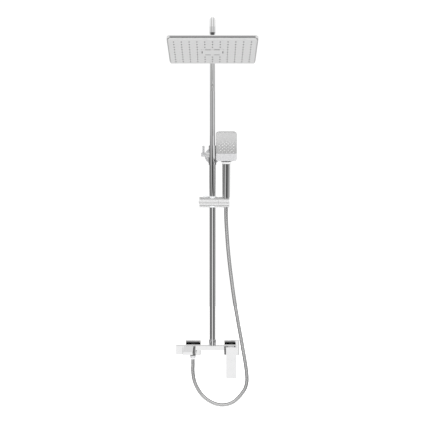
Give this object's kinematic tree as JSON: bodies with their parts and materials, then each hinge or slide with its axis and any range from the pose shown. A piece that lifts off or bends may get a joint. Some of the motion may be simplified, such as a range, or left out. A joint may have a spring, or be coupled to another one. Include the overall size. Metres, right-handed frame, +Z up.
{
  "type": "rainfall shower column",
  "caption": "Exposed bath and shower column with a lever mixer, spout, telescopic riser, tilting rain head and sliding hand shower on a metal hose.",
  "frame": {"origin": "on the wall plane, midway between the two water inlets", "axes": "+X along the wall to the lever's side, +Y into the wall, +Z up along the riser"},
  "size_m": [0.3, 0.5189, 1.4135],
  "materials": {
    "chrome": "polished chrome plating on brass and steel",
    "satin_steel": "satin stainless steel",
    "brass": "bare machined brass",
    "white_plastic": "moulded pale plastic",
    "rubber": "dark grey silicone",
    "grey_plastic": "light grey plastic",
    "chromed_plastic": "chrome plated plastic",
    "white_rubber": "white silicone",
    "hose_metal": "interlocked chromed steel spiral"
  },
  "bodies": {
    "column": {"mixer_body": "chrome", "inlet_escutcheon_left": "chrome", "inlet_escutcheon_right": "chrome", "inlet_union_left": "brass", "inlet_union_right": "brass", "inlet_nut_left": "chrome", "inlet_nut_right": "chrome", "inlet_filters": "rubber", "lever_cartridge": "white_plastic", "cartridge_retaining_nut": "chrome", "diverter_cartridge": "brass", "spout": "chrome", "spout_aerator": "white_plastic", "spout_screw": "satin_steel", "hose_outlet_nipple": "brass", "hose_outlet_nut": "chrome", "riser_union_nut": "chrome", "riser_seals": "rubber", "lower_tube": "chrome", "riser_collar": "chrome", "bracket_arm": "chrome", "wall_base": "satin_steel", "wall_rosette": "chrome", "wall_screws": "satin_steel", "shower_hose": "hose_metal"},
    "lever_rotor": {"cartridge_rotor": "white_plastic"},
    "lever": {"cartridge_stem": "brass", "lever_handle": "chrome", "lever_screw": "satin_steel", "lever_index_marks": "grey_plastic"},
    "diverter": {"diverter_spindle": "brass", "diverter_knob": "chrome"},
    "telescope": {"tube_guide_plug": "white_plastic"},
    "riser_arm": {"upper_tube": "chrome", "curved_arm": "chrome", "ball_stud": "satin_steel"},
    "head_liner": {"ball_liner": "white_plastic"},
    "head_seat": {"ball_seat": "white_plastic"},
    "rain_head": {"head_nut": "chrome", "head_cover": "chrome", "head_gasket": "rubber", "head_faceplate": "chrome", "head_nozzles": "rubber", "head_centre_plate": "chrome"},
    "lock": {"lock_screw": "chrome", "lock_lever_pin": "satin_steel"},
    "slider_carriage": {"slider_bush": "white_plastic"},
    "slider": {"slider_barrel": "chrome", "slider_end_cap": "chrome", "slider_spring": "satin_steel", "holder_screw": "satin_steel"},
    "button": {"slider_button": "white_plastic"},
    "holder": {"handset_holder": "chrome"},
    "handset": {"hose_cone_nut": "chrome", "handset_handle": "chromed_plastic", "handset_neck_ring": "white_plastic", "handset_shell": "chromed_plastic", "handset_face": "grey_plastic", "handset_nozzles": "white_rubber"},
    "handset_button": {"handset_mode_button": "grey_plastic"}
  },
  "joints": [
    {"name": "lever_turn", "type": "hinge", "parent": "column", "child": "lever_rotor", "pos_m": [0.071, -0.068, 0], "axis": [0, 1, 0], "range_deg": [-45, 45]},
    {"name": "lever_lift", "type": "hinge", "parent": "lever_rotor", "child": "lever", "pos_m": [0.071, -0.068, 0], "axis": [-1, 0, 0], "range_deg": [0, 25]},
    {"name": "diverter_turn", "type": "hinge", "parent": "column", "child": "diverter", "pos_m": [-0.1145, -0.048, 0.00025], "axis": [1, 0, 0], "range_deg": [-90, 90]},
    {"name": "telescope_slide", "type": "slide", "parent": "column", "child": "telescope", "axis": [0, 0, 1], "range_m": [-0.2, 0.05]},
    {"name": "arm_swivel", "type": "hinge", "parent": "telescope", "child": "riser_arm", "pos_m": [0, -0.048, 0.49], "axis": [0, 0, 1], "range_deg": [-60, 60]},
    {"name": "head_swivel", "type": "hinge", "parent": "riser_arm", "child": "head_liner", "pos_m": [0, -0.379, 1.102], "axis": [0, 0, 1], "continuous": true},
    {"name": "head_pitch", "type": "hinge", "parent": "head_liner", "child": "head_seat", "pos_m": [0, -0.379, 1.102], "axis": [1, 0, 0], "range_deg": [-4, 26]},
    {"name": "head_roll", "type": "hinge", "parent": "head_seat", "child": "rain_head", "pos_m": [0, -0.379, 1.102], "axis": [0, 1, 0], "range_deg": [-15, 15]},
    {"name": "lock_turn", "type": "hinge", "parent": "column", "child": "lock", "pos_m": [-0.035, -0.048, 0.748], "axis": [1, 0, 0], "range_deg": [0, 90]},
    {"name": "slider_slide", "type": "slide", "parent": "column", "child": "slider_carriage", "axis": [0, 0, 1], "range_m": [-0.45, 0.1], "deforming": ["shower_hose"]},
    {"name": "slider_turn", "type": "hinge", "parent": "slider_carriage", "child": "slider", "pos_m": [0, -0.048, 0.566], "axis": [0, 0, 1], "range_deg": [-25, 25], "deforming": ["shower_hose"]},
    {"name": "button_press", "type": "slide", "parent": "slider", "child": "button", "axis": [0, 0, -1], "range_m": [0, 0.003], "stiffness_N_per_m": 600, "springref_m": -0.002, "deforming": ["slider_spring"]},
    {"name": "holder_tilt", "type": "hinge", "parent": "slider", "child": "holder", "pos_m": [0.052, -0.048, 0.566], "axis": [1, 0, 0], "range_deg": [-4, 45], "deforming": ["shower_hose"]},
    {"name": "handset_lift", "type": "slide", "parent": "holder", "child": "handset", "axis": [0, -0.2079, 0.9781], "range_m": [0, 0.06], "deforming": ["shower_hose"]},
    {"name": "mode_button_press", "type": "slide", "parent": "handset", "child": "handset_button", "axis": [0, 0.9397, 0.342], "range_m": [0, 0.001], "stiffness_N_per_m": 600, "springref_m": -0.002}
  ]
}
